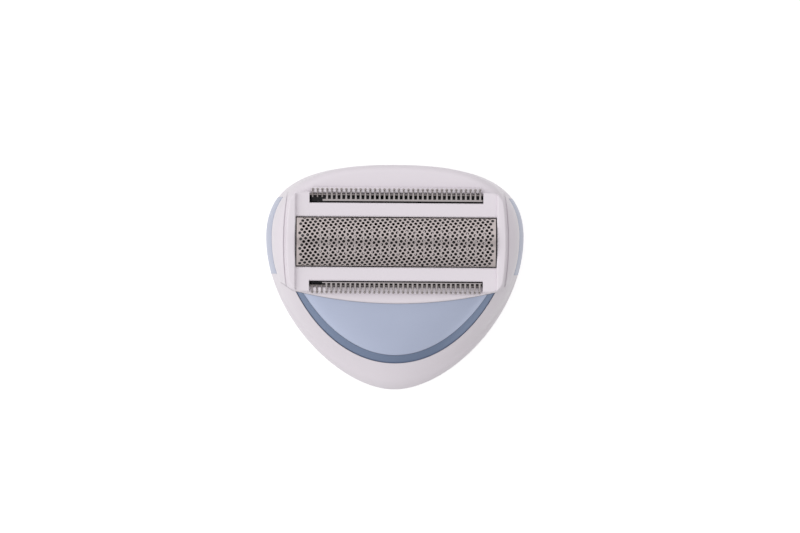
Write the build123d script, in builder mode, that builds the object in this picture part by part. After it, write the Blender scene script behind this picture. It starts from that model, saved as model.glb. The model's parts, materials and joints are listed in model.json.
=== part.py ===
import os
from math import sqrt

from build123d import *

os.makedirs("parts", exist_ok=True)

# Plan outline of the head: a rounded triangle, nose to the front (-Y).
head_width = 50.5
head_depth = 43.9
rear_round = 0.493
corner_pull = 0.902
flank_pull = 0.512
nose_round = 0.424
lip_squareness = 0.82

# Heights: the rim that the head stands on is at zero, and the foil's crown is the top.
head_height = 25.0
ledge_z = 5.5
widest_z = 8.5
foil_crown = 0.6
rim_height = 0.8
saddle_height = 1.6
cap_height = 6.0
lip_height = 1.4

# Walls, rounded edges and clearances.
casing_wall = 1.6
front_wall = 2.7
ledge_width = 1.0
cap_wall = 1.5
deck_wall = 1.4
part_gap = 0.15
slide_gap = 0.1
seat_gap = 0.05
weld = 0.2
rim_round = 0.35
lip_round = 0.5
bar_round = 0.4
foot_round = 0.4

# Shape of the casing between the rim and the lip, and of the cap's cheeks.
rim_inset = 1.7
nose_roll = 1.6
slope_lap = 0.5
roll_height = 2.5
side_lean = 1.05
cheek_inset = 2.8
cap_edge_round = 1.6

# The row of cutting parts across the top, set back from the rear edge.
row_setback = 15.05
widest_behind_row = 1.05
foil_end_margin = 5.9
foil_half_depth = 4.65
foil_gauge = 0.15
foil_radius = 9.0
foil_height = 3.8
window_gap = 0.2
hole_pitch = 1.5
hole_rows = 11
hole_row_pitch = 0.72
hole_radius = 0.38
hole_margin = 1.2
holder_wall = 0.75
holder_end = 1.0
holder_height = 5.25
holder_side_drop = 2.1
holder_flange = 1.2
holder_flange_height = 0.8

# Saddle and end rims round the row, and the crease along each cheek.
saddle_end_margin = 3.85
saddle_bow = 0.8
saddle_reach = 2.1
saddle_corner_round = 2.5
crease_inset = 0.35
crease_width = 0.22
crease_depth = 0.25

# The cap's front lip, seen from above: how far it lies ahead of the front bar.
lip_reach = 4.36
lip_corner_reach = 1.95
lip_end_reach = -0.8
lip_corner_inset = 5.35

# Blue panel and its darker crescent, on the casing's front slope.
panel_depth = 1.0
trim_drop = 0.25
trim_width = 1.55
trim_end_width = 1.2
trim_nose_margin = 5.2
trim_nose_inset = 16.65
trim_flank_inset = 9.55
trim_flank_rise = 6.45
trim_end_inset = 5.55
trim_end_lap = 0.45

# Trimmers: a fixed comb in a slot along each side of the row, and a toothed blade on top of it.
bar_width = 2.75
rear_slot_width = 1.8
front_slot_width = 1.1
slot_end_margin = 8.35
comb_drop = 0.65
comb_gauge = 0.35
comb_flange_height = 2.75
comb_reach = 2.57
tooth_pitch = 0.93
tooth_width = 0.36
tip_size = 0.6
tip_rise = 0.3
blade_gauge = 0.3
blade_setback = 0.33
blade_back = 0.37
blade_reach = 1.67
stroke = 2.4
tab_width = 4.0
tab_length = 6.4

# Cutter block.
cutter_end_gap = 0.35
cutter_pitch = 1.68
cutter_gauge = 0.3
cutter_half_depth = 3.4
cutter_gap = 0.15
cutter_web = 1.3
cutter_seat = 0.6
cutter_window_rise = 0.4
carrier_drop = 4.1
carrier_height = 4.1
carrier_inset = 0.2
carrier_round = 0.8
carrier_pocket = (9.0, 3.6, 1.6)

# Drive bridge and its guides on the chassis.
chassis_thickness = 1.6
bridge_end_gap = 0.8
bridge_half_depth = 5.0
bridge_thickness = 1.5
post_inset = 4.0
post_radius = 1.2
post_lap = 1.8
post_room = 1.4
post_gap = 0.15
arm_width = 6.0
arm_rise = 1.8
arm_thickness = 1.5
fork_wall = 0.4
fork_outer_wall = 0.67
fork_drop = 0.7
yoke_slot = (3.2, 7.0)
yoke_wall = (1.6, 1.2)
yoke_round = 1.0
yoke_drop = 1.9
rail_width = 1.0
rail_height = 3.0
rail_lip = 0.7
rail_lip_height = 0.75
rail_gap = 0.15
rail_overrun = 0.5
stem_inner = 3.0
stem_width = 1.2
opening_gap = (0.4, 0.5)
collar_wall = 1.2
collar_height = 1.0
rinse_slot = (9.0, 2.0)
rinse_pitch = 3.4
rinse_count = 3

# Fastening.
boss_inset = 4.4
boss_setback = 1.0
boss_radius = 2.0
boss_rib = 1.0
screw_radius = 0.9
screw_gap = 0.05
screw_head_radius = 1.75
screw_head_height = 1.2
screw_length = 6.5
recess_width = 0.5

# Release buttons.
button_ahead = 6.2
button_behind = 8.6
button_drop = 0.3
button_lap = 0.8
button_gap = 0.1
button_inset = 2.75
button_flange = 1.2
button_reach = 6.85
button_travel = 1.2
latch_length = 6.0
latch_inset = 7.05
latch_gap = 0.2
latch_bottom_z = 1.6
latch_thickness = 1.2
latch_hook = 0.8
latch_hook_height = 1.2

# Coil springs.
cutter_spring_radius = 1.9
cutter_wire = 0.5
cutter_turns = 4
button_spring_radius = 1.6
button_wire = 0.45
button_turns = 3
spring_post_inset = 10.25
spring_post_thickness = 1.4
spring_post_width = 5.0

# Heights that follow from the ones above.
roll_top_z = widest_z + roll_height
rim_z = head_height - foil_crown
plateau_z = rim_z - rim_height
deck_z = plateau_z - saddle_height
deck_under_z = deck_z - deck_wall
lip_z = deck_z - lip_height
seam_z = deck_z - cap_height
foil_axis_z = head_height - foil_radius
foil_leg_z = head_height - foil_height
holder_bottom_z = head_height - holder_height
holder_side_z = head_height - holder_side_drop
comb_top_z = plateau_z - comb_drop
comb_flange_z = comb_top_z - comb_flange_height
blade_z = comb_top_z + seat_gap
tab_bottom_z = blade_z - tab_length
carrier_top_z = head_height - carrier_drop
carrier_bottom_z = carrier_top_z - carrier_height
cutter_foot_z = carrier_top_z - cutter_seat
chassis_top_z = ledge_z + chassis_thickness
bridge_z = chassis_top_z + slide_gap
bridge_top_z = bridge_z + bridge_thickness
post_top_z = carrier_bottom_z + post_lap
post_hole_z = post_top_z + post_room
arm_z = bridge_top_z + arm_rise
fork_top_z = comb_flange_z - fork_drop
yoke_bottom_z = ledge_z - yoke_drop
button_bottom_z = widest_z - button_drop
button_top_z = seam_z - 2 * slide_gap
button_spring_z = (button_bottom_z + button_top_z) / 2
spring_post_top_z = button_spring_z + button_spring_radius + button_wire
flange_bottom_z = button_bottom_z - button_lap
slope_rise = sqrt((lip_z - widest_z) ** 2 + nose_roll ** 2) - nose_roll

# Places across the head, from its sides inwards.
half_width = head_width / 2
foil_length = head_width - 2 * foil_end_margin
window_half_length = foil_length / 2 + window_gap
hole_columns = int((foil_length - 2 * hole_margin) / hole_pitch)
saddle_half_width = half_width - saddle_end_margin
saddle_corner_x = saddle_half_width - saddle_bow
slot_half_length = half_width - slot_end_margin
tooth_count = int(2 * slot_half_length / tooth_pitch)
right_stop = stroke / 2
blade_length = 2 * slot_half_length - 2 * part_gap - stroke
blade_tooth_count = int(blade_length / tooth_pitch)
carrier_length = foil_length - 2 * (holder_end + cutter_end_gap) - stroke
cutter_count = int(carrier_length / cutter_pitch)
spring_post_x = half_width - spring_post_inset
bridge_length = 2 * (spring_post_x - bridge_end_gap) - stroke
rail_half_length = bridge_length / 2 + rail_overrun
post_x = bridge_length / 2 - post_inset
boss_x = slot_half_length - boss_inset
latch_x = half_width - latch_inset
button_inner_x = half_width - button_reach
button_seat_x = half_width - button_inset - button_flange
chassis_opening_x = yoke_slot[0] + 2 * yoke_wall[0] + stroke + 2 * opening_gap[0]

# Places from front to rear, from the row's centre line outwards.
half_depth = head_depth / 2
row_y = half_depth - row_setback
widest_y = row_y + widest_behind_row
bar_half = foil_half_depth + window_gap
holder_half = foil_half_depth - foil_gauge
cutter_radius = foil_radius - foil_gauge - cutter_gap
carrier_half_depth = cutter_half_depth - carrier_inset
slot_inner = bar_half + bar_width
blade_inner = slot_inner + blade_setback
blade_base = blade_inner + blade_back
blade_tip = blade_inner + blade_reach
comb_tip = slot_inner + comb_reach
saddle_half_depth = slot_inner + saddle_reach
boss_offset = slot_inner + boss_setback
fork_inner = slot_inner - fork_wall
fork_outer = blade_inner + blade_gauge + fork_outer_wall
stem_outer = stem_inner + stem_width
chassis_opening_y = yoke_slot[1] + 2 * yoke_wall[1] + 2 * opening_gap[1]
button_front_y = row_y - button_ahead
button_rear_y = row_y + button_behind
button_mid_y = (button_front_y + button_rear_y) / 2
button_depth = button_rear_y - button_front_y
lip_front_y = row_y - slot_inner - lip_reach
lip_corner = (half_width - lip_corner_inset, row_y - slot_inner - lip_corner_reach)
lip_end = (half_width - side_lean, row_y - slot_inner - lip_end_reach)
trimmers = [("rear", 1, rear_slot_width), ("front", -1, front_slot_width)]
slope_run = half_depth + lip_front_y + slope_lap


# Half width, rear, nose and squareness of the casing's section at a height.
def casing_size(height):
    if height < widest_z:
        inset = rim_inset * ((widest_z - height) / widest_z) ** 2
        return half_width - inset, half_depth - inset, -half_depth + inset, 0.0
    rise = (height - widest_z) / (seam_z - widest_z)
    roll = sqrt((height - widest_z) ** 2 + nose_roll ** 2) - nose_roll
    nose = -half_depth + slope_run * roll / slope_rise
    square = max(0.0, (height - roll_top_z) / (lip_z - roll_top_z))
    return half_width - side_lean * rise ** 2, half_depth, nose, square


# The cap's half width and rear at a height: rounded cheeks, and a tighter edge at the rear.
def cap_size(height):
    rise = (height - seam_z) / (deck_z - seam_z)
    half = casing_size(seam_z)[0] - cheek_inset * (1 - sqrt(1 - rise ** 2))
    turn = max(0.0, 1 - (deck_z - height) / cap_edge_round)
    return half, half_depth - cap_edge_round * (1 - sqrt(1 - turn ** 2))


# The plan outline as a flat face, from pointed (square 0) to lip-shaped (square 1).
def outline(height, half, rear, nose, square):
    flank = flank_pull + (lip_squareness - flank_pull) * square
    tip = nose_round + (lip_squareness - nose_round) * square
    with BuildSketch(Plane.XY.offset(height)) as section:
        with BuildLine():
            Bezier(
                (0, rear),
                (rear_round * half, rear),
                (half, widest_y + corner_pull * (rear - widest_y)),
                (half, widest_y),
            )
            Bezier(
                (half, widest_y),
                (half, widest_y - flank * (widest_y - nose)),
                (tip * half, nose),
                (0, nose),
            )
            mirror(about=Plane.YZ)
        make_face()
    return section.sketch


# The casing's section at a height, drawn in by a wall.
def casing_section(height, inset=0.0, front_inset=0.0):
    half, rear, nose, square = casing_size(height)
    return outline(height, half - inset, rear - inset, nose + front_inset, square)


# The cap's section at a height, drawn in by a wall.
def cap_section(height, inset=0.0):
    half, rear = cap_size(height)
    nose, square = casing_size(seam_z)[2:]
    return outline(height, half - inset, rear - inset, nose, square)


# Plan region that the cap covers: everything behind its front lip.
def behind_lip(height, shift):
    with BuildSketch(Plane.XY.offset(height)) as region:
        with BuildLine():
            ThreePointArc(
                (-lip_corner[0], lip_corner[1] + shift),
                (0, lip_front_y + shift),
                (lip_corner[0], lip_corner[1] + shift),
            )
            Polyline(
                (lip_corner[0], lip_corner[1] + shift),
                (lip_end[0], lip_end[1] + shift),
                (head_width, lip_end[1] + shift),
                (head_width, head_depth),
                (-head_width, head_depth),
                (-head_width, lip_end[1] + shift),
                (-lip_end[0], lip_end[1] + shift),
                (-lip_corner[0], lip_corner[1] + shift),
            )
        make_face()
    return region.sketch


# Plan region in front of the lip, inside the crescent's outer edge drawn in at the nose and the ends.
def front_region(nose_inset, end_inset):
    nose_y = -half_depth + trim_nose_margin
    end_x = half_width - trim_end_inset - end_inset
    end_y = lip_corner[1] + trim_end_lap
    with BuildSketch() as region:
        with BuildLine():
            Bezier(
                (0, nose_y + nose_inset),
                (half_width - trim_nose_inset - nose_inset / 2, nose_y + nose_inset),
                (half_width - trim_flank_inset - end_inset, nose_y + trim_flank_rise + end_inset),
                (end_x, end_y),
            )
            Line((end_x, end_y), (0, end_y))
            mirror(about=Plane.YZ)
        make_face()
        add(behind_lip(0, -seat_gap), mode=Mode.SUBTRACT)
    return region.sketch


# A coil of square wire standing on a plane.
def coil(radius, wire, height, turns, place):
    rise = height - wire
    with BuildPart() as spring:
        with BuildLine() as path:
            Helix(rise / turns, rise, radius, place.offset(wire / 2).origin, place.z_dir)
        with BuildSketch(Plane(path.line @ 0, x_dir=place.z_dir, z_dir=path.line % 0)):
            Rectangle(wire, wire)
        sweep(path=path.line, is_frenet=True)
    return spring.part


# Outer form of the casing, used for the casing, the panel, its trim and the buttons.
roll_mid_z = (widest_z + roll_top_z) / 2
casing_levels = [(0, widest_z / 2, widest_z), (widest_z, roll_mid_z, roll_top_z), (roll_top_z, seam_z, lip_z)]
with BuildPart() as casing_form:
    for levels in casing_levels:
        loft([casing_section(z) for z in levels])

# Shallow pocket in the front slope for the panel and its trim.
with BuildPart() as slope_pocket:
    add(casing_form.part)
    with Locations((0, 0, -panel_depth - seat_gap)):
        add(casing_form.part, mode=Mode.SUBTRACT)
    extrude(front_region(-seat_gap, -seat_gap), amount=deck_z, mode=Mode.INTERSECT)

with BuildPart() as front_panel:
    add(casing_form.part)
    with Locations((0, 0, -panel_depth)):
        add(casing_form.part, mode=Mode.SUBTRACT)
    panel_region = front_region(trim_width + seat_gap, trim_end_width + seat_gap)
    extrude(panel_region, amount=deck_z, mode=Mode.INTERSECT)
front_panel.part.label = "front_panel"
export_step(front_panel.part, "parts/front_panel.step")

with BuildPart() as panel_trim:
    with Locations((0, 0, -trim_drop)):
        add(casing_form.part)
    with Locations((0, 0, -panel_depth)):
        add(casing_form.part, mode=Mode.SUBTRACT)
    extrude(front_region(0, 0), amount=deck_z, mode=Mode.INTERSECT)
    extrude(front_region(trim_width, trim_end_width), amount=deck_z, mode=Mode.SUBTRACT)
panel_trim.part.label = "panel_trim"
export_step(panel_trim.part, "parts/panel_trim.step")

# Lower casing: hollow, with a ledge for the chassis and a notch for each button.
inner_mid_z = (ledge_z + widest_z) / 2
inner_levels = [(ledge_z, inner_mid_z, widest_z), *casing_levels[1:]]
socket_wall = casing_wall + ledge_width
with BuildPart() as head_casing:
    add(casing_form.part)
    for levels in inner_levels:
        loft([casing_section(z, casing_wall, front_wall) for z in levels], mode=Mode.SUBTRACT)
    loft([casing_section(z, socket_wall, socket_wall) for z in (0, ledge_z / 2, ledge_z)], mode=Mode.SUBTRACT)
    fillet(head_casing.edges().group_by(Axis.Z)[0], foot_round)
    extrude(behind_lip(seam_z, -seat_gap), amount=deck_z, mode=Mode.SUBTRACT)
    add(slope_pocket.part, mode=Mode.SUBTRACT)
    notch_height = seam_z - button_bottom_z + button_gap
    with Locations((0, button_mid_y, seam_z)):
        with GridLocations(2 * half_width, 0, 2, 1):
            Box(
                button_seat_x / 2,
                button_depth + 2 * button_gap,
                notch_height,
                align=(Align.CENTER, Align.CENTER, Align.MAX),
                mode=Mode.SUBTRACT,
            )
head_casing.part.label = "head_casing"
export_step(head_casing.part, "parts/head_casing.step")

# Cap over the cutting parts: cheeks, deck, raised saddle, end rims, bosses and openings.
turn_z = deck_z - cap_edge_round
cap_levels = [(seam_z, (seam_z + turn_z) / 2, turn_z), (turn_z, deck_z - cap_edge_round / 3, deck_z)]
cavity_levels = (seam_z, (seam_z + deck_under_z) / 2, deck_under_z)
with BuildPart() as cap_cavity:
    loft([cap_section(z, cap_wall) for z in cavity_levels])
    extrude(behind_lip(seam_z, cap_wall), amount=deck_z, mode=Mode.INTERSECT)

with BuildPart() as cap_form:
    for levels in cap_levels:
        loft([cap_section(z) for z in levels])
    extrude(behind_lip(seam_z, 0), amount=deck_z, mode=Mode.INTERSECT)
    lip_edge = cap_form.edges().group_by(Axis.Z)[-1].sort_by(Axis.Y)[0]
    fillet(lip_edge, lip_round)

# Crease along the foot of each end rim, a shallow cut that follows the cheek.
crease_x = saddle_half_width + crease_inset
crease_end_x = saddle_corner_x + crease_inset
front_end_y = row_y - saddle_half_depth
rear_end_y = row_y + saddle_half_depth
with BuildPart() as creases:
    add(cap_form.part)
    with Locations((0, 0, -crease_depth)):
        add(cap_form.part, mode=Mode.SUBTRACT)
    with BuildSketch():
        with BuildLine():
            ThreePointArc((crease_end_x, front_end_y), (crease_x, row_y), (crease_end_x, rear_end_y))
            Line((crease_end_x, rear_end_y), (crease_end_x + crease_width, rear_end_y))
            ThreePointArc(
                (crease_end_x + crease_width, rear_end_y),
                (crease_x + crease_width, row_y),
                (crease_end_x + crease_width, front_end_y),
            )
            Line((crease_end_x + crease_width, front_end_y), (crease_end_x, front_end_y))
        make_face()
        mirror(about=Plane.YZ)
    extrude(amount=head_height, mode=Mode.INTERSECT)

with BuildPart() as foil_frame:
    add(cap_form.part)
    add(creases.part, mode=Mode.SUBTRACT)
    add(cap_cavity.part, mode=Mode.SUBTRACT)
    with BuildSketch(Plane.XY.offset(deck_under_z)) as saddle:
        with BuildLine():
            ThreePointArc(
                (saddle_corner_x, front_end_y),
                (saddle_half_width, row_y),
                (saddle_corner_x, rear_end_y),
            )
            Line((saddle_corner_x, rear_end_y), (0, rear_end_y))
            Line((saddle_corner_x, front_end_y), (0, front_end_y))
            mirror(about=Plane.YZ)
        make_face()
        fillet(saddle.vertices().filter_by(lambda v: abs(v.X) > 1), saddle_corner_round)
    extrude(amount=plateau_z - deck_under_z)
    with BuildSketch(Plane.XY.offset(plateau_z)):
        add(saddle.sketch_local)
        with Locations((0, row_y)):
            Rectangle(2 * window_half_length, head_depth, mode=Mode.SUBTRACT)
    extrude(amount=rim_z - plateau_z)
    fillet(foil_frame.edges().group_by(Axis.Z)[-1], rim_round)
    with BuildSketch(Plane.XY.offset(chassis_top_z)):
        with Locations((0, row_y)):
            with GridLocations(2 * boss_x, 2 * boss_offset, 2, 2):
                Circle(boss_radius)
    extrude(amount=deck_under_z + weld - chassis_top_z)
    rib_front_y = row_y + boss_offset
    rib_rear_y = half_depth - cap_wall - weld
    with BuildSketch(Plane.XY.offset(seam_z + weld)):
        with Locations((0, (rib_front_y + rib_rear_y) / 2)):
            with GridLocations(2 * boss_x, 1, 2, 1):
                Rectangle(boss_rib, rib_rear_y - rib_front_y)
    extrude(amount=deck_under_z - seam_z)
    with BuildSketch(Plane.XY.offset(comb_flange_z - slide_gap)):
        with Locations((0, row_y)):
            Rectangle(2 * window_half_length, 2 * bar_half)
        for end, side, slot_width in trimmers:
            with Locations((0, row_y + side * (slot_inner + slot_width / 2))):
                Rectangle(2 * slot_half_length, slot_width)
    extrude(amount=head_depth, mode=Mode.SUBTRACT)
    step_depth = saddle_half_depth - slot_inner
    with BuildSketch(Plane.XY.offset(deck_z)):
        with Locations((0, row_y)):
            with GridLocations(1, 2 * slot_inner + step_depth, 1, 2):
                Rectangle(2 * slot_half_length, step_depth)
    extrude(amount=head_depth, mode=Mode.SUBTRACT)
    with BuildSketch(Plane.XY.offset(chassis_top_z)):
        with Locations((0, row_y)):
            with GridLocations(2 * boss_x, 2 * boss_offset, 2, 2):
                Circle(screw_radius + screw_gap)
    extrude(amount=screw_length, mode=Mode.SUBTRACT)
    bar_edges = foil_frame.edges().filter_by(Axis.X)
    fillet(bar_edges.filter_by_position(Axis.Z, plateau_z - weld, plateau_z + weld), bar_round)
foil_frame.part.label = "foil_frame"
export_step(foil_frame.part, "parts/foil_frame.step")

# Chassis: plate on the casing's ledge, with rails for the bridge and posts for the button springs.
with BuildPart() as chassis:
    with BuildSketch(Plane.XY.offset(ledge_z)):
        half, rear, nose, square = casing_size(ledge_z)
        wall = casing_wall + part_gap
        add(outline(0, half - wall, rear - wall, nose + front_wall + part_gap, square))
        with Locations((0, row_y)):
            Rectangle(chassis_opening_x, chassis_opening_y, mode=Mode.SUBTRACT)
            with GridLocations(2 * boss_x, 2 * boss_offset, 2, 2):
                Circle(screw_radius + screw_gap, mode=Mode.SUBTRACT)
        with Locations((0, button_mid_y)):
            with GridLocations(2 * latch_x, 0, 2, 1):
                latch_room = 2 * latch_thickness + 2 * button_travel
                Rectangle(latch_room, latch_length + 2 * latch_gap, mode=Mode.SUBTRACT)
        slot_y = (row_y - chassis_opening_y / 2 - half_depth) / 2
        with Locations((0, slot_y)):
            with GridLocations(1, rinse_pitch, 1, rinse_count):
                SlotOverall(*rinse_slot, mode=Mode.SUBTRACT)
    extrude(amount=chassis_thickness)
    with BuildSketch(Plane.XY.offset(ledge_z - collar_height)):
        with Locations((0, row_y)):
            Rectangle(chassis_opening_x + 2 * collar_wall, chassis_opening_y + 2 * collar_wall)
            Rectangle(chassis_opening_x, chassis_opening_y, mode=Mode.SUBTRACT)
    extrude(amount=collar_height)
    rail_centre = bridge_half_depth + rail_gap + rail_width / 2
    with BuildSketch(Plane.XY.offset(chassis_top_z)):
        with Locations((0, row_y)):
            with GridLocations(0, 2 * rail_centre, 1, 2):
                Rectangle(2 * rail_half_length, rail_width)
    extrude(amount=rail_height)
    lip_centre = bridge_half_depth + rail_gap - rail_lip / 2
    with BuildSketch(Plane.XY.offset(bridge_top_z + rail_gap)):
        with Locations((0, row_y)):
            with GridLocations(0, 2 * lip_centre, 1, 2):
                Rectangle(2 * rail_half_length, rail_lip)
    extrude(amount=rail_lip_height)
    with BuildSketch(Plane.XY.offset(chassis_top_z)):
        with Locations((0, button_mid_y)):
            with GridLocations(2 * spring_post_x + spring_post_thickness, 0, 2, 1):
                Rectangle(spring_post_thickness, spring_post_width)
    extrude(amount=spring_post_top_z - chassis_top_z)
chassis.part.label = "chassis"
export_step(chassis.part, "parts/chassis.step")

with BuildPart() as chassis_screws:
    with BuildSketch(Plane.XY.offset(ledge_z - screw_head_height)):
        with Locations((0, row_y)):
            with GridLocations(2 * boss_x, 2 * boss_offset, 2, 2):
                RegularPolygon(screw_head_radius, 12)
    extrude(amount=screw_head_height)
    with BuildSketch(Plane.XY.offset(ledge_z)):
        with Locations((0, row_y)):
            with GridLocations(2 * boss_x, 2 * boss_offset, 2, 2):
                Circle(screw_radius)
    extrude(amount=screw_length)
    with BuildSketch(Plane.XY.offset(ledge_z - screw_head_height)):
        with Locations((0, row_y)):
            with GridLocations(2 * boss_x, 2 * boss_offset, 2, 2):
                Rectangle(screw_head_radius, recess_width)
                Rectangle(recess_width, screw_head_radius)
    extrude(amount=screw_head_height / 2, mode=Mode.SUBTRACT)
chassis_screws.part.label = "chassis_screws"
export_step(chassis_screws.part, "parts/chassis_screws.step")

# Foil: an arch rolled in flat strips, one for each row of holes, with two straight legs.
leg_top_z = foil_axis_z + sqrt(foil_radius ** 2 - foil_half_depth ** 2)
inner_radius = foil_radius - foil_gauge
inner_leg_z = foil_axis_z + sqrt(inner_radius ** 2 - holder_half ** 2)
strip_edges = [(row - hole_rows / 2) * hole_row_pitch for row in range(hole_rows + 1)]
outer_folds = [-foil_half_depth, *strip_edges, foil_half_depth]
inner_folds = [-holder_half, *strip_edges, holder_half]
with BuildPart() as shaving_foil:
    with BuildSketch(Plane.YZ):
        with BuildLine():
            Polyline(
                (row_y - holder_half, foil_leg_z),
                (row_y - foil_half_depth, foil_leg_z),
                *[(row_y + v, foil_axis_z + sqrt(foil_radius ** 2 - v ** 2)) for v in outer_folds],
                (row_y + foil_half_depth, foil_leg_z),
                (row_y + holder_half, foil_leg_z),
                *[(row_y - v, foil_axis_z + sqrt(inner_radius ** 2 - v ** 2)) for v in inner_folds],
                close=True,
            )
        make_face()
    extrude(amount=foil_length / 2, both=True)
    with BuildSketch(Plane.XY.offset(leg_top_z)):
        for row in range(hole_rows):
            shift = hole_pitch / 4 if row % 2 else -hole_pitch / 4
            with Locations((shift, row_y + (row - (hole_rows - 1) / 2) * hole_row_pitch)):
                with GridLocations(hole_pitch, 1, hole_columns, 1):
                    RegularPolygon(hole_radius, 6)
    extrude(amount=foil_radius, mode=Mode.SUBTRACT)
shaving_foil.part.label = "shaving_foil"
export_step(shaving_foil.part, "parts/shaving_foil.step")

# Floating ring that the foil is wrapped over.
holder_length = foil_length - 2 * seat_gap
with BuildPart() as foil_holder:
    with BuildSketch(Plane.YZ):
        with BuildLine():
            ThreePointArc(
                (row_y - holder_half, inner_leg_z - seat_gap),
                (row_y, head_height - foil_gauge - seat_gap),
                (row_y + holder_half, inner_leg_z - seat_gap),
            )
            Polyline(
                (row_y + holder_half, inner_leg_z - seat_gap),
                (row_y + holder_half, holder_bottom_z),
                (row_y - holder_half, holder_bottom_z),
                (row_y - holder_half, inner_leg_z - seat_gap),
            )
        make_face()
    extrude(amount=holder_length / 2, both=True)
    with BuildSketch(Plane.XY.offset(holder_bottom_z)):
        with Locations((0, row_y)):
            Rectangle(holder_length, 2 * (holder_half + holder_flange))
    extrude(amount=holder_flange_height)
    with BuildSketch(Plane.XY.offset(holder_bottom_z)):
        with Locations((0, row_y)):
            Rectangle(holder_length - 2 * holder_end, 2 * (holder_half - holder_wall))
    extrude(amount=foil_radius, mode=Mode.SUBTRACT)
    with BuildSketch(Plane.XY.offset(holder_side_z)):
        with Locations((0, row_y)):
            Rectangle(holder_length - 2 * holder_end, 3 * holder_half)
    extrude(amount=foil_radius, mode=Mode.SUBTRACT)
foil_holder.part.label = "foil_holder"
export_step(foil_holder.part, "parts/foil_holder.step")

# Cutter block: a carrier with a slot for each arched blade.
first_cutter_x = right_stop - cutter_pitch * (cutter_count - 1) / 2
with BuildPart() as cutter_carrier:
    with BuildSketch(Plane.XY.offset(carrier_bottom_z)):
        with Locations((right_stop, row_y)):
            RectangleRounded(carrier_length, 2 * carrier_half_depth, carrier_round)
    extrude(amount=carrier_top_z - carrier_bottom_z)
    with BuildSketch(Plane.XY.offset(carrier_bottom_z)):
        with Locations((right_stop, row_y)):
            with GridLocations(2 * post_x, 1, 2, 1):
                Circle(post_radius + post_gap)
    extrude(amount=post_hole_z - carrier_bottom_z, mode=Mode.SUBTRACT)
    with BuildSketch(Plane.XY.offset(cutter_foot_z)):
        with Locations((right_stop, row_y)):
            with GridLocations(cutter_pitch, 1, cutter_count, 1):
                Rectangle(cutter_gauge + seat_gap, 4 * carrier_half_depth)
    extrude(amount=foil_radius, mode=Mode.SUBTRACT)
    with BuildSketch(Plane.XY.offset(carrier_bottom_z)):
        with Locations((right_stop, row_y)):
            Rectangle(*carrier_pocket[:2])
    extrude(amount=carrier_pocket[2], mode=Mode.SUBTRACT)
cutter_carrier.part.label = "cutter_carrier"
export_step(cutter_carrier.part, "parts/cutter_carrier.step")

cutter_edge_z = foil_axis_z + sqrt(cutter_radius ** 2 - cutter_half_depth ** 2)
cutter_window = cutter_half_depth - cutter_web
window_radius = cutter_radius - cutter_web
window_edge_z = foil_axis_z + sqrt(window_radius ** 2 - cutter_window ** 2)
for number in range(cutter_count):
    with BuildPart() as cutter_blade:
        with BuildSketch(Plane.YZ.offset(first_cutter_x + number * cutter_pitch)):
            with BuildLine():
                ThreePointArc(
                    (row_y - cutter_half_depth, cutter_edge_z),
                    (row_y, foil_axis_z + cutter_radius),
                    (row_y + cutter_half_depth, cutter_edge_z),
                )
                Polyline(
                    (row_y + cutter_half_depth, cutter_edge_z),
                    (row_y + cutter_half_depth, cutter_foot_z),
                    (row_y - cutter_half_depth, cutter_foot_z),
                    (row_y - cutter_half_depth, cutter_edge_z),
                )
            make_face()
            with BuildLine():
                ThreePointArc(
                    (row_y - cutter_window, window_edge_z),
                    (row_y, foil_axis_z + window_radius),
                    (row_y + cutter_window, window_edge_z),
                )
                Polyline(
                    (row_y + cutter_window, window_edge_z),
                    (row_y + cutter_window, carrier_top_z + cutter_window_rise),
                    (row_y - cutter_window, carrier_top_z + cutter_window_rise),
                    (row_y - cutter_window, window_edge_z),
                )
            make_face(mode=Mode.SUBTRACT)
        extrude(amount=cutter_gauge / 2, both=True)
    blade_name = f"cutter_blade_{number + 1:02d}"
    cutter_blade.part.label = blade_name
    export_step(cutter_blade.part, f"parts/{blade_name}.step")

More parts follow.
